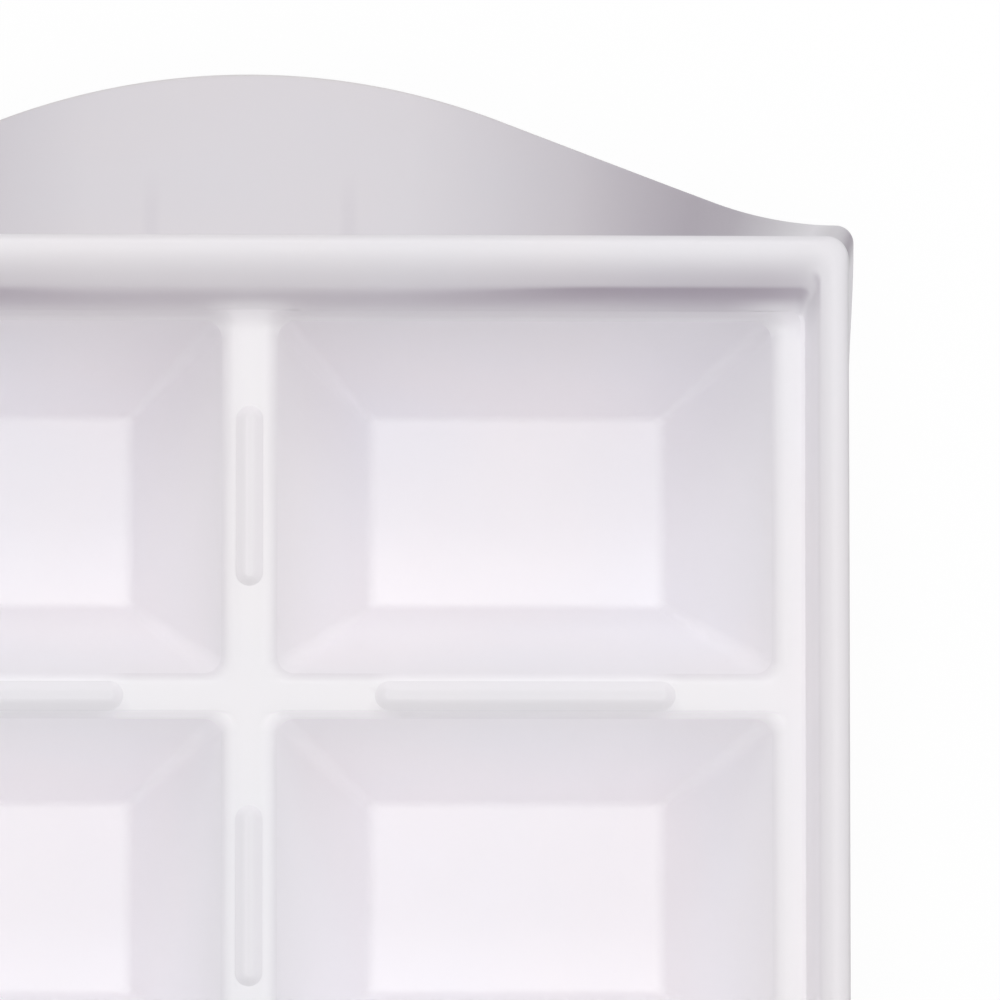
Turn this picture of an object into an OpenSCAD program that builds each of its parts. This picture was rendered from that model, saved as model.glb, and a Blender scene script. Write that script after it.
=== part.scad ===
// Ice cube tray: one white moulding with two columns of tapered cups, a raised rim
// and a curved grip at each end, parted here into its regions.
// Millimetres. +X runs across, +Y along and +Z up; the origin is under the tray's middle.

/* [Cups] */
// Rows of cups along the tray
cup_rows = 6; // [2:1:8]
// Mouth of a cup, across the tray
mouth_w = 50.3; // [40:0.1:60]
// Mouth of a cup, along the tray
mouth_l = 35.9; // [28:0.1:50]
// Depth from the deck down to a cup's floor
cup_depth = 28.5; // [20:0.5:40]
// How far the left and right walls of a cup lean in from mouth to floor
lean_x = 9.8; // [4:0.2:12]
// How far the front and back walls of a cup lean in from mouth to floor
lean_y = 8; // [4:0.2:9]
// Corner radius at a cup's mouth
mouth_r = 1.8; // [1.2:0.1:5]
// Corner radius at a cup's floor
floor_r = 0.8; // [0.6:0.1:3]
// Radius that softens the edge of a cup's mouth
edge_r = 0.6; // [0.3:0.1:1]
// Radius round the outside of a cup's floor
foot_r = 1.5; // [0.5:0.1:2]

/* [Walls] */
// Wall of a cup
cup_t = 1.5; // [1:0.1:2]
// Floor of a cup
floor_t = 1.5; // [1:0.1:2.5]
// Deck, dividers and the rim's inner leg
deck_t = 1.5; // [1.2:0.1:2]
// Skirt and handles
skirt_t = 1.5; // [1:0.1:2]

/* [Deck] */
// Divider between the two columns of cups
spine_w = 5.1; // [4.4:0.1:8]
// Divider between two rows of cups
cross_w = 4.2; // [4:0.1:8]
// Flat ledge between the cups and the long sides of the rim
ledge_w = 2.6; // [2:0.1:6]
// Flat ledge between the cups and the ends of the rim
end_ledge_w = 0.8; // [0.6:0.1:4]

/* [Beads] */
// How far the beads on the dividers stand up
bead_h = 0.7; // [0.3:0.1:1.2]
// Width of a bead on the spine
spine_bead_w = 2.7; // [2:0.1:3]
// Length of a bead on the spine
spine_bead_l = 18.1; // [8:0.1:26]
// Width of a bead on a cross divider
cross_bead_w = 2.9; // [2:0.1:3]
// Length of a bead on a cross divider
cross_bead_l = 30.2; // [10:0.1:38]

/* [Rim] */
// Height of the rim's crest above the deck
rim_h = 5; // [3:0.1:8]
// Width of the round bead along the rim
rim_bead_w = 3; // [2.4:0.1:3.4]
// Width of the slope from the rim's bead down to the ledge, along the long sides
rim_slope_w = 1.6; // [1:0.1:4]
// Width of that slope at the two ends of the tray
end_slope_w = 4; // [1:0.1:6]
// Corner radius at the foot of the rim's slope
rim_inner_r = 1.2; // [0.8:0.1:4]

/* [Skirt and handles] */
// Drop of the skirt and of the handles below the rim's bead
skirt_drop = 11.5; // [6:0.5:16]
// Outward lean of the long sides of the skirt over its drop
side_flare = 0.8; // [0.4:0.1:3]
// Outward lean of the long sides where they meet the corners
corner_flare = 1.4; // [0.8:0.1:4]
// Radius inside the corners of the skirt's lower edge
skirt_inner_r = 0.3; // [0.2:0.1:3]
// Length of the long side over which the lean fades to the corners
wrap_l = 16; // [8:0.5:25]
// Reach of a handle past the rim at its crown
handle_reach = 17.9; // [12:0.1:24]
// Reach of a handle past the rim at its corners
corner_reach = 2.5; // [1.2:0.1:4]
// Radius of the handle's convex crown
crown_r = 71; // [40:1:90]
// Radius of the handle's concave ends
hollow_r = 36; // [15:1:60]

/* [Handle ribs] */
// Distance of each rib from the middle of its handle
rib_x = 9.9; // [5:0.1:25]
// Thickness of a rib
rib_t = 1.2; // [0.8:0.1:2]
// Reach of a rib past the rim, under the handle
rib_reach = 8; // [4:0.5:10]
// Depth of a rib along the end wall of the cups
rib_depth = 10; // [4:0.5:14]

/* [Hidden] */
white = [0.93, 0.92, 0.94];
cup_white = [0.96, 0.96, 0.97];
shade_white = [0.85, 0.84, 0.86];
sides = [-1, 1];
corner_steps = 4;
round_steps = 2;
crest_steps = 8;
end_steps = 44;
fade_steps = 5;
cut_over = 1;
least_r = 0.2;
$fn = 64;

deck_z = floor_t + cup_depth;
under_z = deck_z - deck_t;
pitch_x = mouth_w + spine_w;
pitch_y = mouth_l + cross_w;
grid_x = mouth_w + spine_w / 2;
grid_y = (cup_rows * pitch_y - cross_w) / 2;
rim_w = rim_bead_w + rim_slope_w;
rim_outer_r = rim_inner_r + skirt_t;
half_w = grid_x + ledge_w + rim_w;
end_rim_w = rim_bead_w + end_slope_w;
half_l = grid_y + end_ledge_w + end_rim_w;
crest_z = deck_z + rim_h;
bead_r = rim_bead_w / 2;
bead_z = crest_z - bead_r;
seat_gap = 0.02;

// The rim's inner leg for a width of its slope: its wall measured level, how far in from the
// tray's outer edge its underside starts, and where that underside meets the skirt
leg_rise = bead_z - deck_z;
function leg_t(slope_w) = deck_t * norm([1, slope_w / leg_rise]);
function leg_foot(slope_w) =
    rim_bead_w + slope_w * (1 + deck_t / leg_rise) - leg_t(slope_w);
function leg_top_z(slope_w) =
    deck_z + (rim_bead_w + slope_w - leg_t(slope_w) - skirt_t) * leg_rise / slope_w;
hollow_z = min(leg_top_z(rim_slope_w), leg_top_z(end_slope_w));

// The handle's outline over half the tray's width: a convex crown and a concave end,
// joined by their common tangent
outline_fall = handle_reach - corner_reach;
arcs_r_most = (half_w ^ 2 + outline_fall ^ 2) / (2 * outline_fall);
arcs_fit = min(1, arcs_r_most / (crown_r + hollow_r));
crown = crown_r * arcs_fit;
hollow = hollow_r * arcs_fit;
arcs_r = crown + hollow;
arcs_gap = [half_w, arcs_r - outline_fall];
flank = atan2(arcs_gap.x, arcs_gap.y) - acos(min(1, arcs_r / norm(arcs_gap)));
crown_x = crown * sin(flank);
hollow_x = half_w - hollow * sin(flank);

function row_y(row) = (row - (cup_rows - 1) / 2) * pitch_y;
function cup_name(row, side) = str("cup_", row + 1, side < 0 ? "_left" : "_right");

// Ring of points on a rounded rectangle at height z, anticlockwise from above
function ring(half_x, half_y, r, z) = [
    for (corner = [0:3], step = [0:corner_steps])
        let (
            turn = 90 * (corner + step / corner_steps),
            x = (corner == 0 || corner == 3 ? 1 : -1) * (half_x - r),
            y = (corner < 2 ? 1 : -1) * (half_y - r)
        )
        [x + r * cos(turn), y + r * sin(turn), z]
];

// Ring set in from the tray's outer edge, by as much at the ends or by another inset there
function inset_ring(inset, z, end_inset) =
    ring(
        half_w - inset,
        half_l - (is_undef(end_inset) ? inset : end_inset),
        max(rim_outer_r - inset, rim_inner_r),
        z
    );

// Share of a cup's lean at a depth below the deck: the mouth is straight through the deck
lean_run = cup_depth - deck_t;
function lean_share(depth) = (max(depth, deck_t) - deck_t) / lean_run;

// Section of a cup's inside at a depth below the deck, grown on every side
function cup_ring(depth, grow_x = 0, grow_y = 0, grow_r = 0) =
    let (share = lean_share(depth))
    ring(
        mouth_w / 2 - lean_x * share + grow_x,
        mouth_l / 2 - lean_y * share + grow_y,
        max(least_r, mouth_r + (floor_r - mouth_r) * share + grow_r),
        deck_z - depth
    );

// A cup's wall measured level, through each pair of leaning walls
wall_x = cup_t * norm([1, lean_x / lean_run]);
wall_y = cup_t * norm([1, lean_y / lean_run]);

// Section of a cup's outside at a depth below the deck, drawn in where its foot is rounded
function cup_outer_ring(depth, draw_in = 0) =
    cup_ring(depth, wall_x - draw_in, wall_y - draw_in, cup_t - draw_in);

// How far the end wall of the cups reaches along the tray at a depth below the deck
function end_wall_y(depth) = grid_y - lean_y * lean_share(depth) + wall_y;

// Reach of a handle past the rim's outer edge, at x across the tray
function reach(x) =
    let (a = abs(x))
    a < crown_x ? handle_reach - crown + sqrt(crown ^ 2 - a ^ 2)
    : a < hollow_x ? handle_reach - crown * (1 - cos(flank)) - (a - crown_x) * tan(flank)
    : corner_reach + hollow - sqrt(hollow ^ 2 - max(0, half_w - a) ^ 2);

// The corners of the rim and of the skirt's lower edge, and the shift from one centre to the other
skirt_outer_r = skirt_inner_r + skirt_t;
rim_corner = [half_w - rim_outer_r, half_l - rim_outer_r];
low_corner_x = half_w + corner_flare - skirt_outer_r;
corner_shift = [
    low_corner_x - rim_corner.x,
    reach(low_corner_x) + rim_outer_r - skirt_outer_r
];

// Section of the skirt's wall for a flare, as [inset from the outer edge, height]
function skirt_section(flare) =
    let (
        slant = norm([flare, skirt_drop]),
        across = skirt_t * skirt_drop / slant,
        down = skirt_t * flare / slant
    )
    [
        [0, bead_z],
        [-flare, bead_z - skirt_drop],
        [across - flare, bead_z - skirt_drop - down],
        [skirt_t, bead_z - skirt_t * flare / (slant + skirt_drop)],
        [skirt_t, bead_z]
    ];

// Section of the rim, as [inset, height, inset at the ends where it differs]: a round bead,
// a slope and the hollow under it
function rim_section() = concat(
    [
        for (step = [0:crest_steps])
            let (turn = 180 - 180 * step / crest_steps)
            [bead_r + bead_r * cos(turn), bead_z + bead_r * sin(turn)]
    ],
    [
        [rim_w, deck_z, end_rim_w],
        [rim_w, under_z, end_rim_w],
        [leg_foot(rim_slope_w), under_z, leg_foot(end_slope_w)],
        [skirt_t, hollow_z],
        [skirt_t, bead_z]
    ]
);

// Where the skirt's sections stand along a handle: [x, y, turn of the outward side, flare and
// slide of the lower edge], the slide running along the edge
function right_half_path() = concat(
    [
        for (step = [0:fade_steps - 1])
            let (share = step / fade_steps, ease = (1 - cos(180 * share)) / 2)
            [
                half_w,
                half_l - wrap_l + (wrap_l - rim_outer_r) * share,
                0,
                side_flare + (corner_flare - side_flare) * ease,
                corner_shift.y * share
            ]
    ],
    [
        for (step = [0:corner_steps])
            let (turn = 90 * step / corner_steps, out = [cos(turn), sin(turn)])
            [
                rim_corner.x + rim_outer_r * out.x,
                rim_corner.y + rim_outer_r * out.y,
                turn,
                corner_shift * out + skirt_outer_r - rim_outer_r,
                corner_shift * [-out.y, out.x]
            ]
    ],
    [
        for (step = [1:end_steps / 2])
            let (share = 1 - 2 * step / end_steps)
            [
                rim_corner.x * share,
                half_l,
                90,
                reach(low_corner_x * share),
                -corner_shift.x * share
            ]
    ]
);

function handle_path() =
    let (right = right_half_path(), last = len(right) - 1)
    concat(
        right,
        [for (i = [last - 1:-1:0]) let (p = right[i]) [-p[0], p[1], 180 - p[2], p[3], -p[4]]]
    );

// The skirt's section at one place along a handle, its two lower points slid along the edge
function handle_row(at) =
    let (
        section = skirt_section(at[3]),
        out = [cos(at[2]), sin(at[2])],
        slides = [0, at[4], at[4], 0, 0]
    )
    [
        for (i = [0:len(section) - 1])
            [
                at[0] - section[i].x * out.x - slides[i] * out.y,
                at[1] - section[i].x * out.y + slides[i] * out.x,
                section[i].y
            ]
    ];

// Skin over rows of points that each turn anticlockwise about the way the rows run:
// joined end to end where closed, and otherwise capped by the first and the last row
module skin(rows, closed = false) {
    across = len(rows[0]);
    count = len(rows);
    quads = [
        for (j = [0:closed ? count - 1 : count - 2], i = [0:across - 1])
            let (up = (j + 1) % count, on = (i + 1) % across)
            [j * across + i, up * across + i, up * across + on, j * across + on]
    ];
    walls = [for (q = quads) each [[q[0], q[1], q[2]], [q[0], q[2], q[3]]]];
    caps = closed ? [] : [
        [for (i = [0:across - 1]) i],
        [for (i = [across - 1:-1:0]) (count - 1) * across + i]
    ];
    polyhedron([for (row = rows) each row], concat(walls, caps));
}

// Turns of a quarter round, from its upright end to its level end
quarter_turns = [for (step = [round_steps:-1:0]) 90 * step / round_steps];

module block(low, high) {
    translate(low) cube(high - low);
}

module at_cup(row, side) {
    translate([side * pitch_x / 2, row_y(row), 0]) children();
}

// The cut for a cup's mouth: the tapered inside below, and a quarter round out to the deck
module mouth_cut() {
    lips = [
        for (turn = quarter_turns)
            let (lip = edge_r * (1 - sin(turn)))
            cup_ring(edge_r * (1 - cos(turn)), lip, lip, lip)
    ];
    above = [for (p = lips[round_steps]) p + [0, 0, cut_over]];
    skin(concat([cup_ring(deck_t + cut_over)], lips, [above]));
}

// The ledge takes in the fillets at the ends of the spine, so the dividers stop short of them
spine_end_y = grid_y - mouth_r;

module all_mouth_cuts() {
    for (row = [0:cup_rows - 1], side = sides) at_cup(row, side) mouth_cut();
}

module deck_ledge() {
    color(white) difference() {
        skin([for (z = [under_z, deck_z]) inset_ring(rim_w, z, end_rim_w)]);
        block(
            [-grid_x, -spine_end_y, under_z - cut_over],
            [grid_x, spine_end_y, deck_z + cut_over]
        );
        all_mouth_cuts();
    }
}

module spine_divider() {
    color(white) difference() {
        block([-spine_w / 2, -spine_end_y, under_z], [spine_w / 2, spine_end_y, deck_z]);
        all_mouth_cuts();
    }
}

// A bar between two cups of one column, with the fillets of their four corners
module cross_dividers() {
    reach_y = cross_w / 2 + mouth_r;
    color(white) for (row = [0:cup_rows - 2], side = sides)
        difference() {
            at_cup(row, side) block(
                [-mouth_w / 2, pitch_y / 2 - reach_y, under_z],
                [mouth_w / 2, pitch_y / 2 + reach_y, deck_z]
            );
            for (next = [row, row + 1]) at_cup(next, side) mouth_cut();
        }
}

// A bead lying along Y: a segment of a rod with a dome at each end
module bead(width, length) {
    rod_r = (width ^ 2 / 4 + bead_h ^ 2) / (2 * bead_h);
    run = length - width;
    translate([0, run / 2, 0]) rotate([90, 0, 0]) linear_extrude(run) bead_section(rod_r, width);
    for (end = sides) translate([0, end * run / 2, 0])
        rotate_extrude() intersection() {
            bead_section(rod_r, width);
            square([width, bead_h]);
        }
}

module bead_section(rod_r, width) {
    intersection() {
        translate([0, bead_h - rod_r]) circle(rod_r);
        translate([-width / 2, 0]) square([width, bead_h]);
    }
}

module spine_beads() {
    color(shade_white) for (row = [0:cup_rows - 1])
        translate([0, row_y(row), deck_z]) bead(spine_bead_w, spine_bead_l);
}

module cross_beads() {
    color(shade_white) for (row = [0:cup_rows - 2], side = sides)
        at_cup(row, side) translate([0, pitch_y / 2, deck_z])
            rotate(90) bead(cross_bead_w, cross_bead_l);
}

// A cup hangs from the deck's underside: outer loft, rounded at its foot, less the inner one
module cup(row, side) {
    depth_out = cup_depth + floor_t;
    foot = [
        for (turn = quarter_turns)
            cup_outer_ring(depth_out - foot_r * (1 - sin(turn)), foot_r * (1 - cos(turn)))
    ];
    color(cup_white) at_cup(row, side) difference() {
        skin(concat(foot, [cup_outer_ring(deck_t)]));
        skin([cup_ring(cup_depth), cup_ring(deck_t), cup_ring(deck_t - cut_over)]);
    }
}

module rim_bead() {
    color(white) skin([for (p = rim_section()) inset_ring(p[0], p[1], p[2])], closed = true);
}

module side_skirt(side) {
    section = [for (p = skirt_section(side_flare)) [half_w - p[0], p[1]]];
    color(white) rotate(side < 0 ? 180 : 0) rotate([90, 0, 0])
        linear_extrude(2 * (half_l - wrap_l), center = true) polygon(section);
}

// A handle: the skirt's section carried from one long side round the end to the other
module end_handle(side) {
    color(shade_white) rotate(side < 0 ? 180 : 0) skin([for (at = handle_path()) handle_row(at)]);
}

// Outline of the web under a handle, as [y, height]: down the cups' end wall, out to the
// handle's underside, and back under the handle, the rim's leg and the ledge. It is taken at
// the web's outer face, where the handle hangs lowest
function web_outline() =
    let (
        face_x = rib_x + rib_t / 2,
        under = skirt_section(reach(face_x * low_corner_x / rim_corner.x)),
        low = deck_t + rib_depth,
        share = (skirt_t + rib_reach) / (under[3].x - under[2].x),
        tip_z = under[3].y + share * (under[2].y - under[3].y)
    )
    [
        [end_wall_y(low), deck_z - low],
        [half_l + rib_reach, tip_z - seat_gap],
        [half_l - skirt_t, min(under[3].y, hollow_z) - seat_gap],
        [half_l - leg_foot(end_slope_w), under_z],
        [end_wall_y(deck_t), under_z]
    ];

module handle_ribs(side) {
    color(shade_white) rotate(side < 0 ? 180 : 0) for (flip = sides)
        translate([flip * rib_x, 0, 0]) rotate([90, 0, 90])
            linear_extrude(rib_t, center = true) polygon(web_outline());
}

deck_ledge();
spine_divider();
cross_dividers();
spine_beads();
cross_beads();
rim_bead();
side_skirt(-1);  // side_skirt_left
side_skirt(1);  // side_skirt_right
end_handle(-1);  // end_handle_front
end_handle(1);  // end_handle_back
handle_ribs(-1);  // handle_ribs_front
handle_ribs(1);  // handle_ribs_back
for (row = [0:cup_rows - 1], side = sides)
    cup(row, side);
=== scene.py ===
import math

import bmesh
import bpy
import numpy as np
from mathutils import Matrix, Vector


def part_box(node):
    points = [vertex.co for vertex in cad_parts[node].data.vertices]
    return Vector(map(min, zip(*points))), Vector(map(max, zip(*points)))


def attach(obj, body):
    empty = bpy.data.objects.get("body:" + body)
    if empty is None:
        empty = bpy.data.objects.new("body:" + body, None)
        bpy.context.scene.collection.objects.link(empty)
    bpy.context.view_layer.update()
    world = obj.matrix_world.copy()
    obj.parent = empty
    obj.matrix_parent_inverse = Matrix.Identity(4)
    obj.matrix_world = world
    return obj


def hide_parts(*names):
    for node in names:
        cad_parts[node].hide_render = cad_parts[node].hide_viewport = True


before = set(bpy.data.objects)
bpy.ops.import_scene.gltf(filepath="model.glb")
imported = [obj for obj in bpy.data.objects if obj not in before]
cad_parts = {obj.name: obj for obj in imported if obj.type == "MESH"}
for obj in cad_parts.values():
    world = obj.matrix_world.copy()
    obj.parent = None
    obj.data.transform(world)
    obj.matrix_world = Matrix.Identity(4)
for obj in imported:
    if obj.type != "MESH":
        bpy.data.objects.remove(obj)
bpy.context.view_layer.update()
print("frame:", len(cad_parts), "nodes")

mm = 0.001  # shapes are worked out in millimetres and put into the meshes in metres


def boxOf(node):
    low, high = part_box(node)
    return np.array(low) / mm, np.array(high) / mm


# Places and sizes that the frame gives
halfW, halfL, crestZ = boxOf("rim_bead")[1]
footW, footL, deckZ = boxOf("deck_ledge")[1]  # the ledge ends at the foot of the rim
underZ = boxOf("deck_ledge")[0][2]
deckT = deckZ - underZ
rimW, endRimW = halfW - footW, halfL - footL
cupNames = sorted(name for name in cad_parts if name.startswith("cup_"))
cupAt = {name: (sum(boxOf(name)) / 2)[:2] for name in cupNames}
cupX = cupAt["cup_1_right"][0]
rowYs = sorted({round(at[1], 3) for at in cupAt.values()})
pitchY = rowYs[1] - rowYs[0]


# Shader wiring: a Wire holds an output socket, and its operators add Math nodes
class Wire:
    def __init__(self, graph, socket):
        self.graph = graph
        self.socket = socket

    def __add__(self, other):
        return self.graph.maths("ADD", self, other)

    def __sub__(self, other):
        return self.graph.maths("SUBTRACT", self, other)

    def __rsub__(self, other):
        return self.graph.maths("SUBTRACT", other, self)

    def __mul__(self, other):
        return self.graph.maths("MULTIPLY", self, other)

    def __abs__(self):
        return self.graph.maths("ABSOLUTE", self, 0)

    __radd__ = __add__


class Graph:
    def __init__(self, tree):
        self.tree = tree
        tree.nodes.clear()

    # one node: its type, its settings, then the values or links of its sockets
    def add(self, kind, settings=None, values=None, output=0):
        made = self.tree.nodes.new(kind)
        for key, value in (settings or {}).items():
            setattr(made, key, value)
        for key, value in (values or {}).items():
            if isinstance(value, Wire):
                self.tree.links.new(value.socket, made.inputs[key])
            else:
                made.inputs[key].default_value = value
        return Wire(self, made.outputs[output]) if made.outputs else made

    def maths(self, operation, first, second):
        return self.add("ShaderNodeMath", {"operation": operation}, {0: first, 1: second})

    def between(self, value, low, high):  # 0 below low, 1 above high, smooth between
        return self.add("ShaderNodeMapRange", {"interpolation_type": "SMOOTHSTEP"},
                        {"Value": value, "From Min": low, "From Max": high})

    def colours(self, share, first, second):  # a Mix node's colour sockets go by number
        return self.add("ShaderNodeMix", {"data_type": "RGBA"}, {0: share, 6: first, 7: second}, output=2)

    def mark(self, name):  # a number that each point of the mesh carries
        return self.add("ShaderNodeAttribute", {"attribute_name": name}, output="Fac")

    def seen(self):  # 1 for rays from the camera, reflections and refractions, 0 for light that falls on things
        kinds = ("Camera", "Glossy", "Transmission")
        rays = [self.add("ShaderNodeLightPath", output=f"Is {kind} Ray") for kind in kinds]
        return self.maths("MINIMUM", rays[0] + rays[1] + rays[2], 1)


# Camera: the photographed corner fills the picture, seen from nearly straight above
cameraView = {
    "eye": (3.0, 53.45, 784.0),
    "target": (25.05, 99.65, 33.6),
    "across": 100.0,       # width of the picture at the target
    "sensor": 36.0,
    "clip": (0.05, 20.0),  # metres
}


def makeCamera(view):
    eye, target = Vector(view["eye"]), Vector(view["target"])
    ahead = (target - eye).normalized()
    right = ahead.cross(Vector((0, 1, 0))).normalized()
    data = bpy.data.cameras.new("camera")
    data.sensor_width = view["sensor"]
    data.lens = view["sensor"] * (target - eye).length / view["across"]
    data.clip_start, data.clip_end = view["clip"]
    camera = bpy.data.objects.new("camera", data)
    turn = Matrix((right, right.cross(ahead), -ahead)).transposed()
    camera.matrix_world = Matrix.Translation(eye * mm) @ turn.to_4x4()
    bpy.context.scene.collection.objects.link(camera)
    bpy.context.scene.camera = camera


makeCamera(cameraView)
print("camera done")

# Ribs: thin webs between the end wall of the cups and a handle's underside. Where they show through the handle, their
# shadow is painted on it as streaks
ribShape = {
    "at": 9.9,                 # to both sides of the tray's middle
    "thick": 1.2,
    "reach": 8.0,              # past the rim, under the handle
    "depth": 10.0,             # down the cups' wall
    "bevel": 0.2,
    "drawIn": 1 / 30,          # share by which a web's two faces are smaller
    "streakFade": 2.0,         # past the rim, where a painted rib shadow starts to fade
    "streakEdge": (0.2, 1.2),  # its soft edge, from its middle line
    "streakShare": 0.6,
}

# Plastic: white with a cool cast, a satin skin with faint mould marks and a few tiny specks.
# A noise is (scale to the metre, detail)
plastic = {
    "white": (0.905, 0.878, 0.900),
    "cool": (0.893, 0.880, 0.912),
    "edge": (0.93, 0.905, 0.87),     # painted highlight: a lighter warm line along the thin lower edges
    "shade": (0.84, 0.815, 0.85),    # painted shadow of the ribs, as streaks on a handle
    "speck": (0.42, 0.38, 0.38),
    "depth": (1.0, 1.09, 0.98),      # how deep each channel goes where shade is painted in, so that painted shade turns violet
    "edgeShare": 0.8,
    "patch": (26.0, 3),              # where white turns to cool
    "patchRange": (0.35, 0.65),
    "speckCells": 60.0,              # places for a speck to the metre
    "speckSize": (0.008, 0.016),     # in cells
    "speckField": (31.0, 0),         # where the places hold one
    "speckRange": (0.58, 0.62),
    "speckShare": 0.6,
    "grain": (2600.0, 2),            # of the mould
    "grainBump": (0.05, 0.0001),     # strength, and height in metres
    "ripple": (130.0, 1),            # where the plastic sank as it cooled
    "rippleBump": (0.06, 0.001),
    "roughness": 0.42,
    "grainRough": 0.12,              # how far grain and patches change it
    "patchRough": 0.06,
    "bend": 1.49,                    # index of refraction
    "gloss": 0.5,
}
paintedLightAndShade = {"deck": 1.0, "cup": 1.06, "bead": 0.93, "rim": 0.94, "handle": 0.83}  # painted light and shade: each region gets a lighter or darker copy of the one plastic


# Painted shade: the ribs under a handle show through it, and their shadow is painted as two faint streaks from the rim
# outwards
def paintedRibShadows(graph, place, rib):
    across, along = (abs(graph.add("ShaderNodeSeparateXYZ", None, {0: place}, output=axis)) for axis in "XY")
    off = abs(across - rib["at"] * mm)
    fade = 1 - graph.between(along, (halfL + rib["streakFade"]) * mm, (halfL + rib["reach"]) * mm)
    return (1 - graph.between(off, *(wide * mm for wide in rib["streakEdge"]))) * fade * rib["streakShare"]


# One copy of the plastic, made lighter or darker as painted light and shade, with painted rib shadows on the handles
def trayPlastic(name, look, shade, streaks=False):
    material = bpy.data.materials.new(name)
    material.use_nodes = True
    graph = Graph(material.node_tree)
    place = graph.add("ShaderNodeTexCoord", output="Object")
    # a darker copy of the plastic, as painted shade, turns violet by depth
    depth = look["depth"] if shade < 1 else (1, 1, 1)

    def noise(scale, detail):
        return graph.add("ShaderNodeTexNoise", {"noise_dimensions": "3D"},
                         {"Vector": place, "Scale": scale, "Detail": detail})

    def bump(key, height, below):
        strength, distance = look[key]
        return graph.add("ShaderNodeBump", None,
                         {"Strength": strength, "Distance": distance, "Height": height, **below})

    def paint(tint):
        return tuple(channel * (1 + (shade - 1) * deep) for channel, deep in zip(look[tint], depth)) + (1,)

    def vectors(operation, first, values):
        return graph.add("ShaderNodeVectorMath", {"operation": operation}, {0: first, **values})

    patch = graph.between(noise(*look["patch"]), *look["patchRange"])
    colour = graph.colours(patch, paint("white"), paint("cool"))
    # painted shadow of the ribs under a handle
    if streaks:
        colour = graph.colours(paintedRibShadows(graph, place, ribShape), colour, paint("shade"))
    # painted highlight along the thin lower edges
    colour = graph.colours(graph.mark("edge") * look["edgeShare"], colour, paint("edge"))
    # painted light and shade that each point carries: where darker it turns violet by depth, where lighter it stays
    # even
    paintedShading = graph.mark("paintedShading")
    darker, lighter = graph.maths("MINIMUM", paintedShading, 1), graph.maths("MAXIMUM", paintedShading, 1)
    kept = vectors("ADD", vectors("SCALE", look["depth"], {"Scale": darker - 1}), {1: (1, 1, 1)})
    colour = vectors("SCALE", vectors("MULTIPLY", colour, {1: kept}), {"Scale": lighter})
    cells = graph.add("ShaderNodeTexVoronoi", {"feature": "F1"}, {"Vector": place, "Scale": look["speckCells"]})
    field = graph.between(noise(*look["speckField"]), *look["speckRange"])
    specks = (1 - graph.between(cells, *look["speckSize"])) * field
    colour = graph.colours(specks * look["speckShare"], colour, paint("speck"))
    grain, ripple = noise(*look["grain"]), noise(*look["ripple"])
    rough = look["roughness"] + (grain - 0.5) * look["grainRough"] + (patch - 0.5) * look["patchRough"]
    skin = bump("rippleBump", ripple, {"Normal": bump("grainBump", grain, {})})
    shader = graph.add("ShaderNodeBsdfPrincipled", None, {
        "Base Color": colour, "Roughness": rough, "Normal": skin,
        "IOR": look["bend"], "Specular IOR Level": look["gloss"],
    })
    graph.add("ShaderNodeOutputMaterial", None, {"Surface": shader})
    return material


# Lit and shaded copies of the one plastic, as painted light and shade
deckPlastic = trayPlastic("deckPlastic", plastic, paintedLightAndShade["deck"])
cupPlastic = trayPlastic("cupPlastic", plastic, paintedLightAndShade["cup"])
beadPlastic = trayPlastic("beadPlastic", plastic, paintedLightAndShade["bead"])
rimPlastic = trayPlastic("rimPlastic", plastic, paintedLightAndShade["rim"])
handlePlastic = trayPlastic("handlePlastic", plastic, paintedLightAndShade["handle"], streaks=True)
print("materials done")


def ease(value, low, high):  # 0 below low, 1 above high, smooth between
    t = np.clip((value - low) / (high - low), 0, 1)
    return t * t * (3 - 2 * t)


def easeFrom(value, start, run):  # the same, from start plus run's first number to start plus its second
    return ease(value, start + run[0], start + run[1])


def knotsAt(knots, places):  # straight lines between knots of (place, value)
    return np.interp(places, *np.array(knots).T)


# Ring of a rounded rectangle, anticlockwise from above. Each point has the turn of its outward side
# and the place of its corner's centre, from -1 to 1 across and along
def ringBase(cornerSteps, sideSteps):
    cornersX, cornersY = np.array([1, -1, -1, 1.0]), np.array([1, 1, -1, -1.0])
    sides = np.linspace(0, 1, sideSteps + 1)[1:-1]
    sides = (sides + sides * sides * (3 - 2 * sides)) / 2  # closer together near the corners
    share = np.concatenate([np.zeros(cornerSteps + 1), sides])
    turn = np.concatenate([np.linspace(0, 1, cornerSteps + 1), np.ones(len(sides))])
    k = np.arange(4)[:, None]
    following = (k + 1) % 4
    return {"turn": ((k + turn) * math.pi / 2).ravel(),
            "x": (cornersX[k] * (1 - share) + cornersX[following] * share).ravel(),
            "y": (cornersY[k] * (1 - share) + cornersY[following] * share).ravel()}


# Rings for rows of (half width, half length, corner radius, height): centre plus radius times turn
def ringRows(base, rows):
    halfX, halfY, radius, z = (rows[:, i:i + 1] for i in range(4))
    radius = np.minimum(radius, np.minimum(halfX, halfY))
    x = base["x"] * (halfX - radius) + radius * np.cos(base["turn"])
    y = base["y"] * (halfY - radius) + radius * np.sin(base["turn"])
    return np.stack([x, y, np.broadcast_to(z, x.shape)], -1)


# Shares of a line: the most that a soft corner takes, and where the points that guard it lie
softRule = {"most": 0.48, "guard": 1.5, "guardMost": 0.5}


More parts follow.
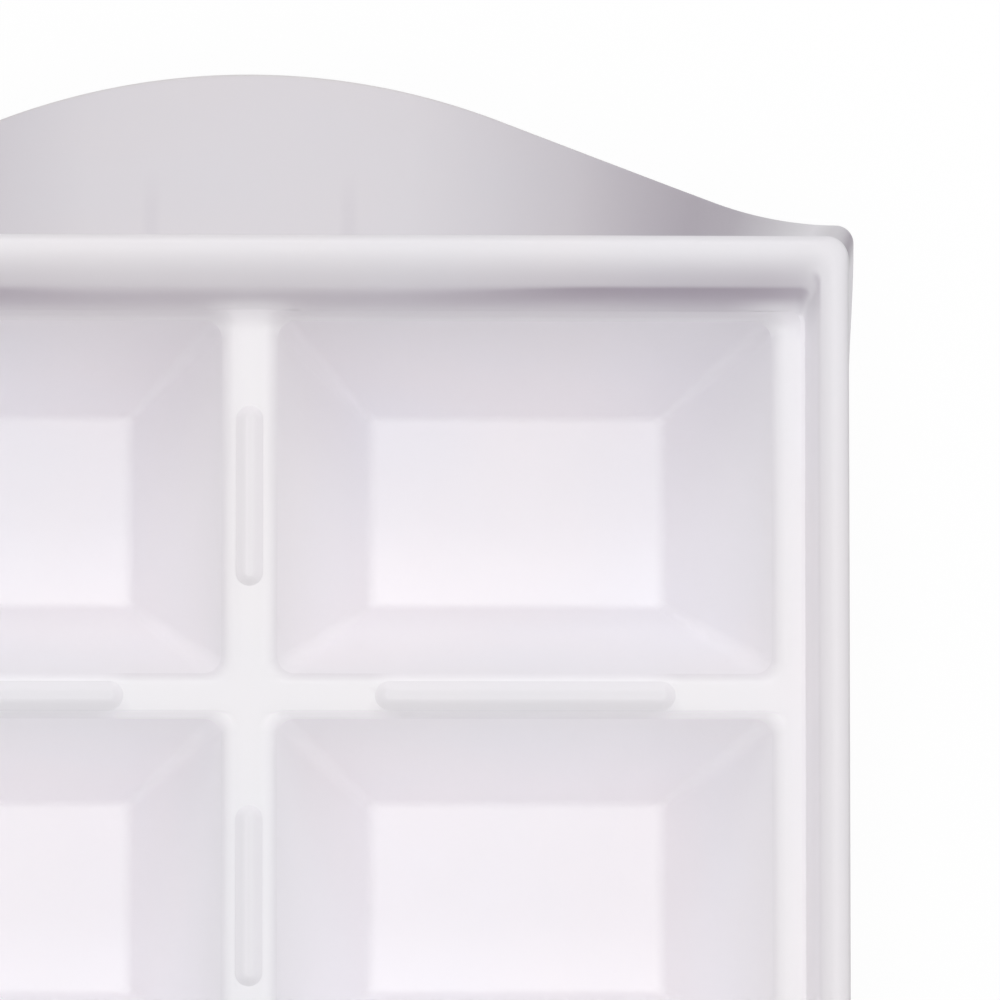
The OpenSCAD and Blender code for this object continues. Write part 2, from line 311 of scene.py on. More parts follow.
# A chain of straight lines whose corners are replaced by parabolas: (1-t)^2 A + 2t(1-t) C + t^2 B, with A and
# B the corner's tangent points. chain is (places, corners, values); lengths are measured on values 0 and -1
def softChain(chain, soft, steps):
    t = np.linspace(0, 1, steps + 1)[None, :, None]
    out = [chain[:, :1]]
    for i in range(1, chain.shape[1] - 1):
        corner = chain[:, i:i + 1]
        if not soft[i]:
            out.append(corner)
            continue
        tangents, guards = [], []
        for other in (chain[:, i - 1:i], chain[:, i + 1:i + 2]):
            line = other - corner
            reach = soft[i] / np.linalg.norm(line[..., [0, -1]], axis=-1, keepdims=True)
            reach = np.minimum(reach, softRule["most"])
            tangents.append(corner + line * reach)
            guards.append(corner + line * np.minimum(reach * softRule["guard"], softRule["guardMost"]))
        curve = (1 - t)**2 * tangents[0] + 2 * t * (1 - t) * corner + t * t * tangents[1]
        out += [guards[0], curve, guards[1]]
    return np.concatenate(out + [chain[:, -1:]], axis=1)


def profile(points, soft, steps):
    return softChain(np.array(points, float)[None], soft, steps)[0]


# Quads of a grid whose columns close on themselves, and whose rows do where asked
def gridQuads(rows, columns, closeRows=False):
    j, i = np.mgrid[0:rows if closeRows else rows - 1, 0:columns]
    up, on = (j + 1) % rows, (i + 1) % columns
    return np.stack([j * columns + i, j * columns + on, up * columns + on, up * columns + i], -1).reshape(-1, 4)


meshRule = {"mergeGap": 2e-7, "creaseAngle": 28.0}  # metres and degrees


# Each point carries two marks: where a highlight is painted on an edge, and its painted light and shade
def makePiece(name, points, quads, material, nodes, edge=0.0, paintedShading=1.0):
    mesh = bpy.data.meshes.new(name)
    mesh.from_pydata((points.reshape(-1, 3) * mm).tolist(), [], quads.tolist())
    for mark, values in (("edge", edge), ("paintedShading", paintedShading)):
        marks = np.broadcast_to(values, points.shape[:-1]).ravel().astype(np.float32)
        mesh.attributes.new(mark, "FLOAT", "POINT").data.foreach_set("value", marks)
    work = bmesh.new()
    work.from_mesh(mesh)
    bmesh.ops.remove_doubles(work, verts=work.verts, dist=meshRule["mergeGap"])
    bmesh.ops.recalc_face_normals(work, faces=work.faces)
    work.to_mesh(mesh)
    work.free()
    mesh.shade_smooth()
    mesh.set_sharp_from_angle(angle=math.radians(meshRule["creaseAngle"]))
    mesh.materials.append(material)
    piece = bpy.data.objects.new(name, mesh)
    bpy.context.scene.collection.objects.link(piece)
    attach(piece, "root")
    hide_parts(*nodes)


# Cups: tapered wells whose walls lean in from the deck to a flat floor
cupShape = {
    "mouth": (50.3, 35.9),
    "lean": (9.8, 8.0),
    "flare": 0.25,             # the walls' lines meet the deck this far outside the mouth
    "mouthRadius": 1.8,
    "floorRadius": 0.9,
    "wall": 1.5,
    "floor": 1.5,
    "floorSoft": 1.1,          # the curve between wall and floor
    "footSoft": 1.8,           # the curve round the outside of the floor
    "floorTone": 1.03,         # painted light, a little more on the floor than near the mouth, for light coming through the thin floor
    "floorRise": 4.0,          # over the floor, where that painted light starts to change
    "mouthTone": 1.02,
    "endTone": 0.95,           # painted shade in the end cups, towards the rim
    "endRun": (-4.0, 12.0),    # from the end row's middle
    "rimPaintedShading": 0.92,           # and painted shadow at the top of the wall beside the rim
    "rimRun": (-3.0, -1.5),    # from the rim's foot
    "rimDown": 2.5,            # under the deck
    "softSteps": 7,
    "cornerSteps": 12,
    "sideSteps": 10,
}


# A cup's inside at a depth below the deck: (half width, half length, corner radius, height)
def wellAt(depth, grow=0.0):
    s = cupShape
    share = depth / (deckZ - s["floor"])
    half = [m / 2 + s["flare"] - (lean + s["flare"]) * share + grow for m, lean in zip(s["mouth"], s["lean"])]
    radius = s["mouthRadius"] + (s["floorRadius"] - s["mouthRadius"]) * share + max(grow, 0)
    return (*half, radius, deckZ - depth)


def makeCups(s):
    base = ringBase(s["cornerSteps"], s["sideSteps"])
    depth = deckZ - s["floor"]
    slant = math.hypot(1, s["lean"][0] / depth)
    inner, seam = wellAt(depth), wellAt(deckT)
    outSeam = wellAt(deckT, s["wall"] * slant)
    outFoot = wellAt(deckZ, s["wall"] * slant)
    middle = (0, 0, 0, s["floor"])
    under = (0, 0, 0, 0)
    rows = profile([middle, inner, seam, outSeam, outFoot, under],
                   [0, s["floorSoft"], 0, 0, s["footSoft"], 0], s["softSteps"])
    ring = ringRows(base, rows)
    quads = gridQuads(len(rows), ring.shape[1])
    z = ring[..., 2]
    # painted light low in the cups, painted shade in the end cups and under the rim
    paintedShading = s["floorTone"] + (s["mouthTone"] - s["floorTone"]) * ease(z, s["floor"] + s["floorRise"], underZ)
    top = ease(z, underZ - s["rimDown"], underZ)
    for name in cupNames:
        points = ring + np.array([*cupAt[name], 0])
        out = np.abs(points[..., 1])
        dark = (1 - s["endTone"]) * easeFrom(out, rowYs[-1], s["endRun"])
        dark += (1 - s["rimPaintedShading"]) * easeFrom(out, footL, s["rimRun"]) * top
        makePiece(name + "_shell", points, quads, cupPlastic, [name], paintedShading=paintedShading * (1 - dark))


makeCups(cupShape)
print("cups done:", len(cupNames))

# Deck: one plate of ledge and dividers, with a rounded edge at every mouth. In front of the cups at both ends
# it dips between rim and mouth
deckShape = {
    "edgeDown": 1.4,          # the rounded edge runs this far down the wall
    "edgeOut": (1.7, 0.9),    # and this far out on the deck, across and along the tray
    "farShare": 0.5,          # of that, on the far side of a mouth
    "rimGap": 0.03,           # between that edge and the end rims
    "dip": 0.9,
    "dipFrom": (1.6, 5.5),    # across the tray, from the spine outwards
    "dipTo": (47.5, 54.0),
    "tilt": 0.5,              # share of its height that the dip loses on the way to the mouth
    "cornerRadius": 1.2,      # at the tray's four corners, at the foot of the rim
    "farTone": 1.17,          # painted light on the edge on the far side of a mouth, for light coming through it
    "sideTone": 1.04,         # at its sides
    "nearTone": 1.09,         # and on its near side, beside a cross bead
    "litDepth": 0.12,         # below the deck's top, where that painted light is full; it fades out towards the top
    "beadShade": 0.15,        # painted shade: how much darker the far edge is beside a cross bead
    "beadRun": (-2.0, 1.0),   # from the bead's end
    "calmRun": (-2.4, -1.0),  # from the end rims, where no edge gets painted light
    "endTone": 0.78,          # painted shadow along the end rims
    "endRun": (-2.4, 0.0),
    "endShare": 0.5,          # of that, where the ledge doesn't dip
    "cornerSteps": 12,        # even, so that a cell's corner is a point
    "sideSteps": 32,
    "edgeSteps": 10,
}


# How far the dip has opened at x, from 0 on the spine and the side ledges to 1 in front of a cup
def dipAt(x):
    a = np.abs(x)
    return ease(a, *deckShape["dipFrom"]) * (1 - ease(a, *deckShape["dipTo"]))


# Painted light and shade of the deck: light on the edges of the mouths, apart from those beside the end rims, where a
# painted shadow darkens the ledge
def deckPaintedShading(s, points, base, rows, mouthX):
    height = np.concatenate([[deckZ], rows[:, 3], [deckZ]])
    facing = np.sin(base["turn"])
    far, near = np.maximum(facing, 0), np.maximum(-facing, 0)
    byBead = 1 - easeFrom(np.abs(mouthX), boxOf("cross_beads")[1][0] - cupX, s["beadRun"])
    lift = (s["farTone"] - 1) * far + (s["nearTone"] - 1) * near * byBead + (s["sideTone"] - 1) * (1 - far - near)
    lift = lift * (1 - ease(height, deckZ - s["litDepth"], deckZ))[:, None] - s["beadShade"] * far * byBead
    lift = np.tile(lift, (len(cupNames), 1))
    out = np.abs(points[..., 1])
    band = easeFrom(out, footL, s["endRun"]) * (s["endShare"] + (1 - s["endShare"]) * dipAt(points[..., 0]))
    calm = easeFrom(out, footL, s["calmRun"])
    paintedShading = 1 + np.maximum(lift, 0) * (1 - calm) + np.minimum(lift, 0) * (1 - band)
    return paintedShading * (1 - (1 - s["endTone"]) * band)


# A cell is the deck round one cup. Its rows run from the border's underside in to the mouth, up its wall, over
# the rounded edge, a parabola (1-t)^2 A + 2t(1-t) C + t^2 B, and out to the border again; cells share their
# borders' points
def makeDeck(s):
    base = ringBase(s["cornerSteps"], s["sideSteps"])
    t = np.linspace(0, 1, s["edgeSteps"] + 1)[:, None]
    down, corner = np.array(wellAt(s["edgeDown"])), np.array(wellAt(0))
    out = corner + np.array([*s["edgeOut"], min(s["edgeOut"]), 0])
    edge = (1 - t)**2 * down + 2 * t * (1 - t) * corner + t * t * out
    rows = np.concatenate([[wellAt(deckT)], edge])
    mouth = ringRows(base, rows)
    wallY = wellAt(0)[1]
    mouth[..., 1] -= np.maximum(mouth[..., 1] - wallY, 0) * (1 - s["farShare"])
    columns = mouth.shape[1]
    diagonals = np.degrees(np.arccos(np.abs(np.cos(base["turn"])))) / 45  # 0 across, 1 on a corner's diagonal, 2 along
    shareX, shareY = np.clip(2 - diagonals, 0, 1), np.clip(diagonals, 0, 1)
    signX, signY = np.sign(base["x"]), np.sign(base["y"])
    centreX, centreY = rows[0, 0] - rows[0, 2], rows[0, 1] - rows[0, 2]
    isArc = np.tile(np.arange(columns // 4) <= s["cornerSteps"], 4)
    r = s["cornerRadius"]
    points, quads = [], []
    for name in cupNames:
        atX, atY = cupAt[name]
        side = np.sign(atX)
        end = np.sign(atY) * (abs(atY) > rowYs[-1] - pitchY / 2)
        sideX = np.where(signX == side, side * footW - atX, -atX)
        sideY = np.where((signY == end) & (end != 0), end * footL - atY, signY * pitchY / 2)
        borderX = base["x"] * centreX + shareX * (sideX - signX * centreX)
        borderY = base["y"] * centreY + shareY * (sideY - signY * centreY)
        onCorner = isArc & (signX == side) & (signY == end)
        borderX = np.where(onCorner, sideX + r * (np.cos(base["turn"]) - signX), borderX)
        borderY = np.where(onCorner, sideY + r * (np.sin(base["turn"]) - signY), borderY)
        border = np.stack([borderX, borderY], -1)
        low = np.concatenate([border, np.full((columns, 1), underZ)], 1)
        high = np.concatenate([border, np.full((columns, 1), deckZ)], 1)
        cell = np.concatenate([low[None], mouth, high[None]])
        if end:
            reach = footL - abs(atY)  # from the cup's middle to the rim
            past = np.maximum(cell[1:-1, :, 1] * end - wallY, 0)
            room = (reach - s["rimGap"] - wallY) / past.max()  # for the edge, beside the rim
            cell[1:-1, :, 1] -= end * past * (1 - room)
            opened = dipAt(cell[..., 0] + atX) * (cell[..., 1] * end > 0)
            inward = np.clip((reach - cell[..., 1] * end) / (reach - wallY), 0, 1)
            fall = (1 - s["dip"] / deckT * opened) * (1 - s["tilt"] * inward * opened)
            cell[..., 2] = underZ + (cell[..., 2] - underZ) * fall
        cell += np.array([atX, atY, 0])
        outerX = ((shareX == 1) & (signX == side)) | onCorner
        outerY = ((shareY == 1) & (signY == end) & (end != 0)) | onCorner
        closes = (outerX & np.roll(outerX, -1)) | (outerY & np.roll(outerY, -1))
        faces = gridQuads(len(cell), columns, closeRows=True)
        kept = np.concatenate([np.ones(len(faces) - columns, bool), closes])
        quads.append(faces[kept] + len(points) * cell.shape[0] * columns)
        points.append(cell)
    points = np.concatenate(points)
    makePiece("deck_plate", points, np.concatenate(quads), deckPlastic,
              ["deck_ledge", "spine_divider", "cross_dividers"], paintedShading=deckPaintedShading(s, points, base, rows, mouth[-1, :, 0]))


makeDeck(deckShape)
print("deck done")

# Beads: low rounded bars on the dividers
beadShape = {
    "height": 0.5,
    "shoulder": 0.4,         # share of the half width where the flank turns over to the top
    "soft": 1.0,
    "sideTone": 0.05,        # painted light: lighter flanks, at the sides and towards the far end
    "farTone": 0.03,
    "farFrom": (0.1, 0.9),   # from the middle line outwards, in half widths
    "softSteps": 8,
    "cornerSteps": 10,
    "sideSteps": 10,
}


# A bead is a stadium whose rings draw in to its middle line as they rise
def beadRings(s, halfX, halfY):
    half = min(halfX, halfY)
    rise = profile([(half, deckZ), (half * s["shoulder"], deckZ + s["height"]), (0, deckZ + s["height"])],
                   [0, s["soft"], 0], s["softSteps"])
    inset = half - rise[:, 0]
    rows = np.stack([halfX - inset, halfY - inset, half - inset, rise[:, 1]], 1)
    foot = np.array([[halfX - half, halfY - half, 0, deckZ]])
    return ringRows(ringBase(s["cornerSteps"], s["sideSteps"]), np.concatenate([foot, rows]))


def makeBeadRow(node, name, s, halfX, halfY, places):
    ring = beadRings(s, halfX, halfY)
    quads = gridQuads(*ring.shape[:2])
    points = np.concatenate([ring + np.array([x, y, 0]) for x, y in places])
    half = min(halfX, halfY)
    offX, offY = ((ring[..., i] - np.clip(ring[..., i], half - long, long - half)) / half
                  for i, long in enumerate((halfX, halfY)))
    # painted light on the flanks
    paintedShading = 1 + s["sideTone"] * np.abs(offX) + s["farTone"] * ease(offY, *s["farFrom"])
    steps = np.arange(len(places))[:, None, None] * ring.shape[0] * ring.shape[1]
    makePiece(name, points, (quads[None] + steps).reshape(-1, 4), beadPlastic, [node],
              paintedShading=np.tile(paintedShading, (len(places), 1)))


spineHigh, crossHigh = boxOf("spine_beads")[1], boxOf("cross_beads")[1]
spineHalf = (spineHigh[0], spineHigh[1] - rowYs[-1])
crossHalf = (crossHigh[0] - cupX, crossHigh[1] - rowYs[-1] + pitchY / 2)
makeBeadRow("spine_beads", "spine_bead_row", beadShape, *spineHalf, [(0, y) for y in rowYs])
makeBeadRow("cross_beads", "cross_bead_rows", beadShape, *crossHalf,
            [(x, y + pitchY / 2) for y in rowYs[:-1] for x in (-cupX, cupX)])
print("beads done")

# Rim: a round bead, a slope down to the deck and a hollow underneath. At the two ends the slope is a wide roll
# that runs out in a hollow curve. Knots of a roll are (distance from the crest, tilt in degrees), and knots of
# painted light or shade are (distance from the tray's middle line, lightness)
rimShape = {
    "bead": 3.0,
    "skirt": 1.5,
    "outerRadius": 2.2,
    "corner": [(0, 2.2), (1.45, 2.2), (2.5, 1.6), (4.6, 1.2)],  # corner radius by inset
    "sideCrest": 1.45,           # how far in from the outer edge the crest lies
    "sideOut": [(0, 0), (0.95, 30), (1.25, 55), (1.4, 80), (1.45, 88)],
    "sideIn": [(0, 0), (1.05, 26), (1.5, 40), (1.75, 64), (1.92, 73), (2.55, 73), (2.7, 55), (2.77, 6), (3.15, 1)],
    "endCrest": 0.95,
    "endOut": [(0, 0), (0.4, 22), (0.8, 42), (1.05, 58), (1.13, 65)],
    "endLip": 0.18,              # the outer roll stands this far over a handle
    "endDrop": 0.75,             # and falls this far to it
    "endIn": [(0, 0), (0.8, 14), (1.55, 26), (2.3, 35), (3.05, 42), (3.65, 48), (4.0, 52), (4.15, 62), (4.65, 62),
              (5.15, 50), (5.65, 32), (6.05, 16)],
    "dipFrom": 5.0,              # inset at the ends from which the roll follows the deck's dip
    "tuck": 0.04,                # its foot lies this far under the ledge
    "tuckFrom": 6.2,
    "endTurn": (0.5, 0.95),      # sine of the turn between the painted light of the long sides and the painted shade of the ends
    "slopeTone": 1.12,           # painted light on the slope of the long sides
    "slopeRun": (0.0, 0.3),      # from the bead's edge
    "slopeEnd": 0.24,            # painted shade: how much darker that slope is at the tray's corners
    "slopeEdge": (-0.3, 0.1),    # from the bead's edge
    "slopeEndRun": (-3.0, 3.5),  # from the ledge's end
    "flatTone": 0.05,            # painted light: how much lighter the foot of that slope is
    "flatFrom": (4.02, 4.22),    # inset where the slope ends
    "rollTone": [(0, 0.92), (15, 0.92), (24, 0.88), (44, 0.79), (52, 0.78), (55, 0.83), (57, 0.95)],  # painted shade down the end rolls
    "rollFrom": (1.5, 4.5),      # inset where that tone comes in
    "footTone": [(0, 0.84), (15, 0.80), (24, 0.73), (34, 0.61), (46, 0.65), (50, 0.68), (53, 0.72), (55, 0.76),
                 (57, 0.80)],    # painted shadow: the dark line at their foot
    "footAt": (5.8, 5.05),       # its inset, at the middle and near the corners
    "footFade": (0.7, 0.25),     # how far it fades up the roll
    "footRun": (1.6, 1.3),       # and how far towards the cups
    "footBetween": (12.0, 36.0),  # across the tray, where the middle's values turn into the corners'
    "footEnd": 0.95,             # painted shade where the roll runs out on the spine and the side ledges
    "footOut": 5.6,              # inset from which it does
    "outSteps": 12,
    "inSteps": 48,
    "cornerSteps": 16,
    "sideSteps": 90,
}
beadZ = crestZ - rimShape["bead"] / 2


# Distance from the crest at each level below it: a roll falls by the tangent of its tilt, summed along the way
# and brought to the whole drop
def rollAt(knots, levels, steps=600):
    way = np.linspace(0, knots[-1][0], steps)
    fall = np.cumsum(np.tan(np.radians(knotsAt(knots, way))))
    return np.interp(levels, fall / fall[-1] * levels[-1], way)


# The leg under a slope: how far in its underside starts, and the height at which it meets the skirt
def legUnder(slopeW, s):
    rise = beadZ - deckZ
    leg = deckT * math.hypot(1, slopeW / rise)
    start = s["bead"] + slopeW * (1 + deckT / rise) - leg
    return start, deckZ + (s["bead"] + slopeW - leg - s["skirt"]) * rise / slopeW


# Painted light and shade of the rim: light on the long slopes, shade down the end rolls and a painted shadow, darkest,
# along their foot
def rimPaintedShading(s, ring, section, turn):
    across, along = np.abs(ring[..., 0]), np.abs(ring[..., 1])
    inset, endInset = section[:, :1], section[:, 1:2]
    onEnd = ease(np.abs(np.sin(turn)), *s["endTurn"])
    near = ease(across, *s["footBetween"])
    line, fade, run = (s[key][0] + (s[key][1] - s[key][0]) * near for key in ("footAt", "footFade", "footRun"))
    off = endInset - line
    dark = (1 - knotsAt(s["footTone"], across)) * np.exp(-(off / np.where(off < 0, fade, run))**2) * onEnd
    flat = ease(inset, *s["flatFrom"])
    light = (s["slopeTone"] - 1) * easeFrom(inset, s["bead"], s["slopeRun"]) * (1 - flat) + s["flatTone"] * flat
    slope = easeFrom(inset, s["bead"], s["slopeEdge"]) * (1 - flat)
    light = (light - s["slopeEnd"] * slope * easeFrom(along, footL, s["slopeEndRun"])) * (1 - onEnd)
    roll = (1 - knotsAt(s["rollTone"], across)) * ease(endInset, *s["rollFrom"]) * onEnd
    paintedShading = (1 - dark + light) * (1 - roll)
    runOut = (1 - dipAt(ring[..., 0])) * ease(endInset, s["footOut"], endRimW) * onEnd
    return paintedShading + (s["footEnd"] - paintedShading) * runOut


# The rim's section for the long sides and for the ends, level by level, carried round the tray
def makeRim(s):
    def levels(drop, steps):
        return drop * (1 - np.cos(np.linspace(0, math.pi, steps + 1))) / 2

    out, inward = levels(crestZ - beadZ, s["outSteps"]), levels(crestZ - deckZ, s["inSteps"])
    sideLeg, sideTop = legUnder(rimW - s["bead"], s)
    endLeg, endTop = legUnder(endRimW - s["bead"], s)
    under = np.array([(rimW, endRimW, underZ), (sideLeg, endLeg, underZ),
                      (s["skirt"], s["skirt"], min(sideTop, endTop)), (s["skirt"], s["skirt"], beadZ)])
    past = np.maximum(out / s["endDrop"] - 1, 0) * s["endLip"]  # back under the lip
    outer = np.stack([s["sideCrest"] - rollAt(s["sideOut"], out),
                      s["endCrest"] - rollAt(s["endOut"], np.minimum(out, s["endDrop"])) + past, crestZ - out])
    inner = np.stack([s["sideCrest"] + rollAt(s["sideIn"], inward), s["endCrest"] + rollAt(s["endIn"], inward),
                      crestZ - inward])
    section = np.concatenate([outer.T[::-1], inner.T[1:], under])
    section[:, :2] = np.clip(section[:, :2], (0, -s["endLip"]), (rimW, endRimW))
    radius = knotsAt(s["corner"], section[:, 0])
    rows = np.stack([halfW - section[:, 0], halfL - section[:, 1], radius, section[:, 2]], 1)
    base = ringBase(s["cornerSteps"], s["sideSteps"])
    ring = ringRows(base, rows)
    upper = ring[:-len(under)]
    inset = section[:-len(under), 1:2]
    sag = deckShape["dip"] * ease(inset, s["dipFrom"], endRimW)
    upper[..., 2] -= sag * dipAt(upper[..., 0]) + s["tuck"] * ease(inset, s["tuckFrom"], endRimW)
    makePiece("rim_roll", ring, gridQuads(*ring.shape[:2], closeRows=True), rimPlastic, ["rim_bead"],
              paintedShading=rimPaintedShading(s, ring, section, base["turn"]))


makeRim(rimShape)
print("rim done")

# Skirt and handles: a thin wall that flares from under the rim, far out at the two ends
handleShape = {
    "drop": 11.5,
    "wall": 1.5,
    "rise": 0.75,               # the aprons reach this far up the rim's outer roll
    "riseTurn": (0.7, 1.0),     # sine of the turn where they start to
    "crown": boxOf("end_handle_back")[1][1] - halfL,
    "corner": 2.5,
    "crownRadius": 71.0,
    "hollowRadius": 36.0,
    "cornerRadius": 1.8,
    "edgeSoft": 0.55,
    "straight": 0.9,            # share of the outer face above its lower edge
    "sideFlare": boxOf("side_skirt_right")[1][0] - halfW,
    "cornerFlare": boxOf("end_handle_back")[1][0] - halfW,
    "wrap": halfL - boxOf("side_skirt_right")[1][1],
    "apronTone": [(0, 1.0), (16, 1.0), (24, 0.94), (32, 0.86), (40, 0.68), (44, 0.59), (48, 0.62), (52, 0.85),
                  (56, 1.15), (58, 0.95)],  # painted shade by the distance from the tray's middle line, darker where it is steep
    "cornerTone": 0.30,         # painted shade at the corner, then painted light along the side
    "sideTone": 1.25,
    "cornerRun": (0.3, 4.0),    # from the rim's end
    "toneTurn": (0.3, 1.0),     # sine of the turn between the two
    "edgeAt": 4,                # rows from the outer face to the middle of the painted highlight on the lower edge
    "edgeWide": 2.0,
    "fadeSteps": 20,
    "cornerSteps": 12,
    "endSteps": 90,
    "downSteps": 8,
    "softSteps": 5,
    "sideStations": 25,
}


# Reach of a handle past the rim at x: a convex arc, its tangent, and a concave arc that ends level
def handleReach(x, s):
    fall = s["crown"] - s["corner"]
    arcs = s["crownRadius"] + s["hollowRadius"]
    flank = math.atan2(halfW, arcs - fall) - math.acos(arcs / math.hypot(halfW, arcs - fall))
    crownX, hollowX = s["crownRadius"] * math.sin(flank), halfW - s["hollowRadius"] * math.sin(flank)
    a = np.abs(x)

    def arc(radius, off):
        return np.sqrt(np.maximum(radius**2 - off**2, 0))

    crown = s["crown"] - s["crownRadius"] + arc(s["crownRadius"], a)
    line = s["crown"] - s["crownRadius"] * (1 - math.cos(flank)) - (a - crownX) * math.tan(flank)
    hollow = s["corner"] + s["hollowRadius"] - arc(s["hollowRadius"], np.maximum(halfW - a, 0))
    return np.where(a < crownX, crown, np.where(a < hollowX, line, hollow))


# The wall's section for each flare, as (inset, slide of the lower edge, height), with soft lower edges
def skirtSections(flare, s, rise=0.0):
    slant = np.hypot(flare, s["drop"])
    across, down = s["wall"] * s["drop"] / slant, s["wall"] * flare / slant
    zero = np.zeros_like(flare)
    top, low = zero + beadZ, zero + beadZ - s["drop"]
    inside = beadZ - s["wall"] * flare / (slant + s["drop"])
    corners = np.stack([
        np.stack([zero, zero, top + rise], -1),
        np.stack([-flare, zero + 1, low], -1),
        np.stack([across - flare, zero + 1, low - down], -1),
        np.stack([zero + s["wall"], zero, inside], -1),
        np.stack([zero + s["wall"], zero, top], -1)], 1)
    t = np.linspace(0, s["straight"], s["downSteps"] + 1)[None, :-1, None]
    outer = corners[:, :1] * (1 - t) + corners[:, 1:2] * t
    soft = softChain(np.concatenate([outer[:, -1:], corners[:, 1:]], 1),
                     [0, s["edgeSoft"], s["edgeSoft"], 0, 0], s["softSteps"])
    return np.concatenate([outer[:, :-1], soft], 1)


# Stations along the wall: (x, y, turn of the outward side, flare, slide), then each section set at its station
def skirtPoints(stations, s):
    x, y, turn, flare, slide = (stations[:, i] for i in range(5))
    section = skirtSections(flare, s, s["rise"] * ease(np.abs(np.sin(turn)), *s["riseTurn"]))
    outX, outY = np.cos(turn)[:, None], np.sin(turn)[:, None]
    shift = slide[:, None] * section[..., 1]
    return np.stack([x[:, None] - section[..., 0] * outX - shift * outY,
                     y[:, None] - section[..., 0] * outY + shift * outX, section[..., 2]], -1)


def handleStations(s):
    r, low = rimShape["outerRadius"], s["cornerRadius"]
    lowX = halfW + s["cornerFlare"] - low
    shift = np.array([lowX - halfW + r, float(handleReach(lowX, s)) + r - low])
    share = np.linspace(0, 1, s["fadeSteps"] + 1)[:-1]
    eased = (1 - np.cos(math.pi * share)) / 2
    fade = np.stack([share * 0 + halfW, halfL - s["wrap"] + (s["wrap"] - r) * share, share * 0,
                     s["sideFlare"] + (s["cornerFlare"] - s["sideFlare"]) * eased, shift[1] * share], 1)
    turn = np.linspace(0, math.pi / 2, s["cornerSteps"] + 1)
    cos, sin = np.cos(turn), np.sin(turn)
    corner = np.stack([halfW - r + r * cos, halfL - r + r * sin, turn,
                       shift[0] * cos + shift[1] * sin + low - r, shift[1] * cos - shift[0] * sin], 1)
    share = np.linspace(1, 0, s["endSteps"] + 1)[1:]
    end = np.stack([(halfW - r) * share, share * 0 + halfL, share * 0 + math.pi / 2,
                    handleReach(lowX * share, s), -shift[0] * share], 1)
    right = np.concatenate([fade, corner, end])
    left = right[-2::-1] * np.array([-1, 1, -1, 1, -1]) + np.array([0, 0, math.pi, 0, 0])
    return np.concatenate([right, left])


# An open run of sections becomes a closed wall: both ends are capped by quads across the section
def wallQuads(rows, columns):
    i = np.arange((columns - 1) // 2)
    cap = np.stack([i, i + 1, columns - 2 - i, columns - 1 - i], -1)
    return np.concatenate([gridQuads(rows, columns), cap, cap + (rows - 1) * columns])


# Painted light and shade of the wall at each station: across the aprons, and along the sides from the corner
def wallPaintedShading(s, stations):
    x, y, turn = (stations[:, i:i + 1] for i in range(3))
    onEnd = knotsAt(s["apronTone"], np.abs(x))
    onSide = s["cornerTone"] + (s["sideTone"] - s["cornerTone"]) * ease(halfL - np.abs(y), *s["cornerRun"])
    return onSide + (onEnd - onSide) * ease(np.abs(np.sin(turn)), *s["toneTurn"])


def makeSkirt(s):
    stations = handleStations(s)
    straight = np.linspace(-1, 1, s["sideStations"]) * (halfL - s["wrap"])
    zero = np.zeros_like(straight)
    side = np.stack([zero + halfW, straight, zero, zero + s["sideFlare"], zero], 1)
    for sign, end, hand in ((1, "back", "right"), (-1, "front", "left")):
        spin = np.array([sign, sign, 1])
        for run, name, node in ((stations, "handle_" + end + "_apron", "end_handle_" + end),
                                (side, "skirt_" + hand + "_wall", "side_skirt_" + hand)):
            points = skirtPoints(run, s)
            # where the painted highlight of the lower edge lies
            past = np.arange(points.shape[1]) - s["downSteps"] - s["edgeAt"]
            edge = np.exp(-(past / s["edgeWide"])**2)
            makePiece(name, points * spin, wallQuads(*points.shape[:2]), handlePlastic, [node], edge, wallPaintedShading(s, run))


makeSkirt(handleShape)
print("skirt and handles done")


# A web is its outline drawn in a little at both faces and carried across its thickness
def makeRibs(s):
    h = handleShape
    low = deckT + s["depth"]
    wellLow, wellTop = (wellAt(depth, cupShape["wall"])[1] + rowYs[-1] for depth in (low, deckT))
    under = skirtSections(np.array([float(handleReach(s["at"], h))]), h)[0]
    inner, tip = under[-2], under[np.argmin(under[:, 2])]
    share = (h["wall"] + s["reach"]) / (inner[0] - tip[0])
    tipZ = inner[2] + share * (tip[2] - inner[2])
    outline = np.array([
        (wellLow, deckZ - low), (halfL + s["reach"], tipZ), (halfL - h["wall"], inner[2]),
        (halfL - legUnder(endRimW - rimShape["bead"], rimShape)[0], underZ), (wellTop, underZ)])
    middle = outline.mean(0)
    drawn = middle + (outline - middle) * (1 - s["drawIn"])
    half = s["thick"] / 2
    rows = [(middle, -half), (drawn, -half), (outline, s["bevel"] - half),
            (outline, half - s["bevel"]), (drawn, half), (middle, half)]
    web = np.stack([np.concatenate([np.full((len(outline), 1), x), np.broadcast_to(o, outline.shape)], 1)
                    for o, x in rows])
    quads = gridQuads(*web.shape[:2])
    both = np.concatenate([quads, quads + web.shape[0] * web.shape[1]])
    for sign, end in ((1, "back"), (-1, "front")):
        pair = np.concatenate([web + np.array([x, 0, 0]) for x in (-s["at"], s["at"])]) * np.array([sign, sign, 1])
        makePiece("ribs_" + end + "_webs", pair, both, handlePlastic, ["handle_ribs_" + end])


makeRibs(ribShape)
print("ribs done")

# Stage: a white floor that keeps the tray's soft shadow
stageLook = {"size": 8.0, "albedo": (0.35, 0.35, 0.35, 1), "glow": 0.85, "white": 1.12}


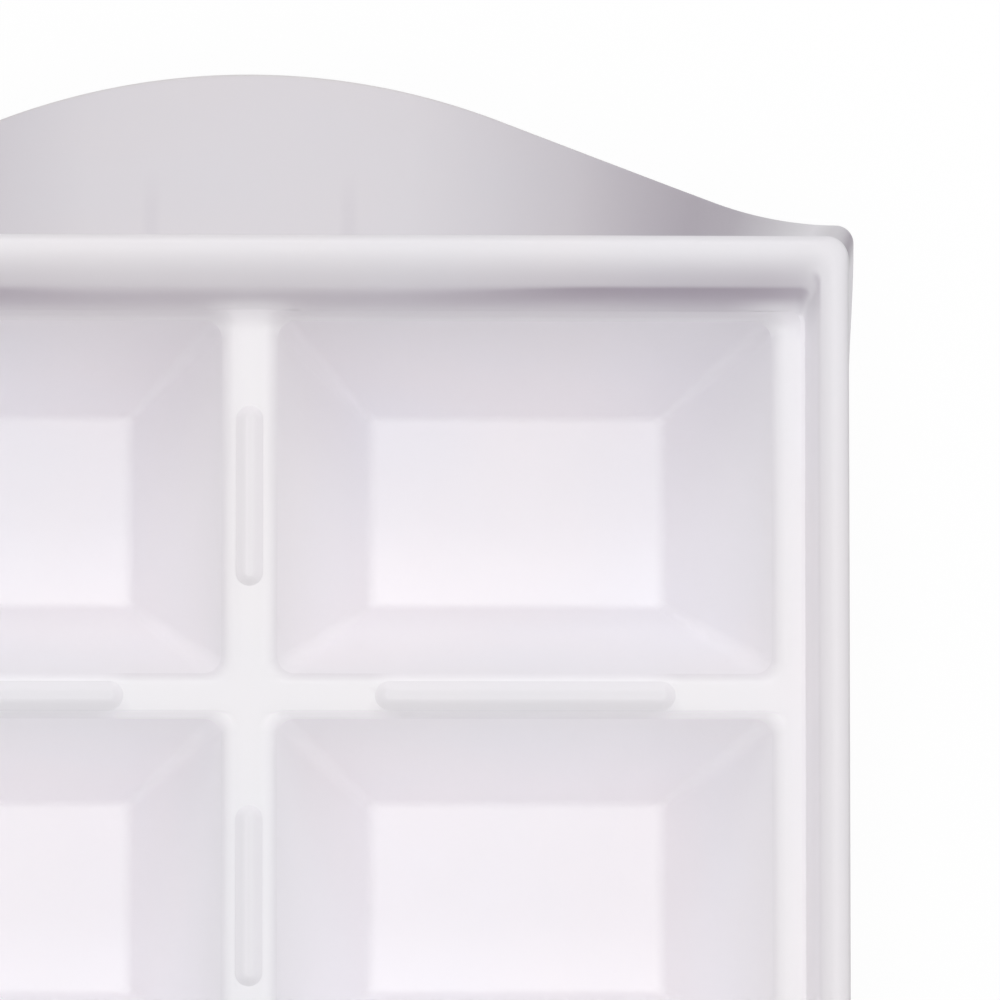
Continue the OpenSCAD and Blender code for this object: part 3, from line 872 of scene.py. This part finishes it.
def makeFloor(look):
    half = look["size"] / 2
    mesh = bpy.data.meshes.new("floor")
    mesh.from_pydata([(-half, -half, 0), (half, -half, 0), (half, half, 0), (-half, half, 0)], [], [(0, 1, 2, 3)])
    material = bpy.data.materials.new("floorWhite")
    material.use_nodes = True
    graph = Graph(material.node_tree)
    matt = graph.add("ShaderNodeBsdfDiffuse", None, {"Color": look["albedo"]})
    white = graph.add("ShaderNodeEmission", None, {"Color": (1, 1, 1, 1), "Strength": look["white"]})
    mixed = graph.add("ShaderNodeMixShader", None, {0: graph.seen() * look["glow"], 1: matt, 2: white})
    graph.add("ShaderNodeOutputMaterial", None, {"Surface": mixed})
    mesh.materials.append(material)
    floor = bpy.data.objects.new("floor", mesh)
    bpy.context.scene.collection.objects.link(floor)


makeFloor(stageLook)

# Light: a soft lamp overhead, one from beyond the far end, weak ones in front and at the sides, and light all
# round. Places and sizes are in metres
lightPlan = {
    "overhead": {"at": (0.02, 0.10, 1.50), "size": 0.9, "watts": 4.65},
    "farEnd": {"at": (0.02, 1.08, 0.955), "size": 0.55, "watts": 3.6},
    "front": {"at": (0.02, -0.98, 0.91), "size": 0.9, "watts": 0.5},
    "rightSide": {"at": (1.04, 0.07, 1.0), "size": 0.8, "watts": 0.8},
    "leftSide": {"at": (-1.0, 0.07, 1.0), "size": 0.8, "watts": 0.35},
}
lampAim = (0.02, 0.07, 0.03)
studioLook = {"ambient": 0.55, "backdrop": 1.0}


def makeLamps(plan, aim):
    for name, lamp in plan.items():
        data = bpy.data.lights.new(name, "AREA")
        data.size = lamp["size"]
        data.energy = lamp["watts"]
        made = bpy.data.objects.new(name, data)
        made.location = lamp["at"]
        made.rotation_euler = (Vector(aim) - made.location).to_track_quat("-Z", "Y").to_euler()
        bpy.context.scene.collection.objects.link(made)


def makeWorld(look):
    made = bpy.data.worlds.new("studio")
    made.use_nodes = True
    bpy.context.scene.world = made
    graph = Graph(made.node_tree)
    strength = look["ambient"] + graph.seen() * (look["backdrop"] - look["ambient"])
    sky = graph.add("ShaderNodeBackground", None, {"Color": (1, 1, 1, 1), "Strength": strength})
    graph.add("ShaderNodeOutputWorld", None, {"Surface": sky})


makeLamps(lightPlan, lampAim)
makeWorld(studioLook)
bpy.context.scene.view_settings.view_transform = "Standard"
print("stage and light done")
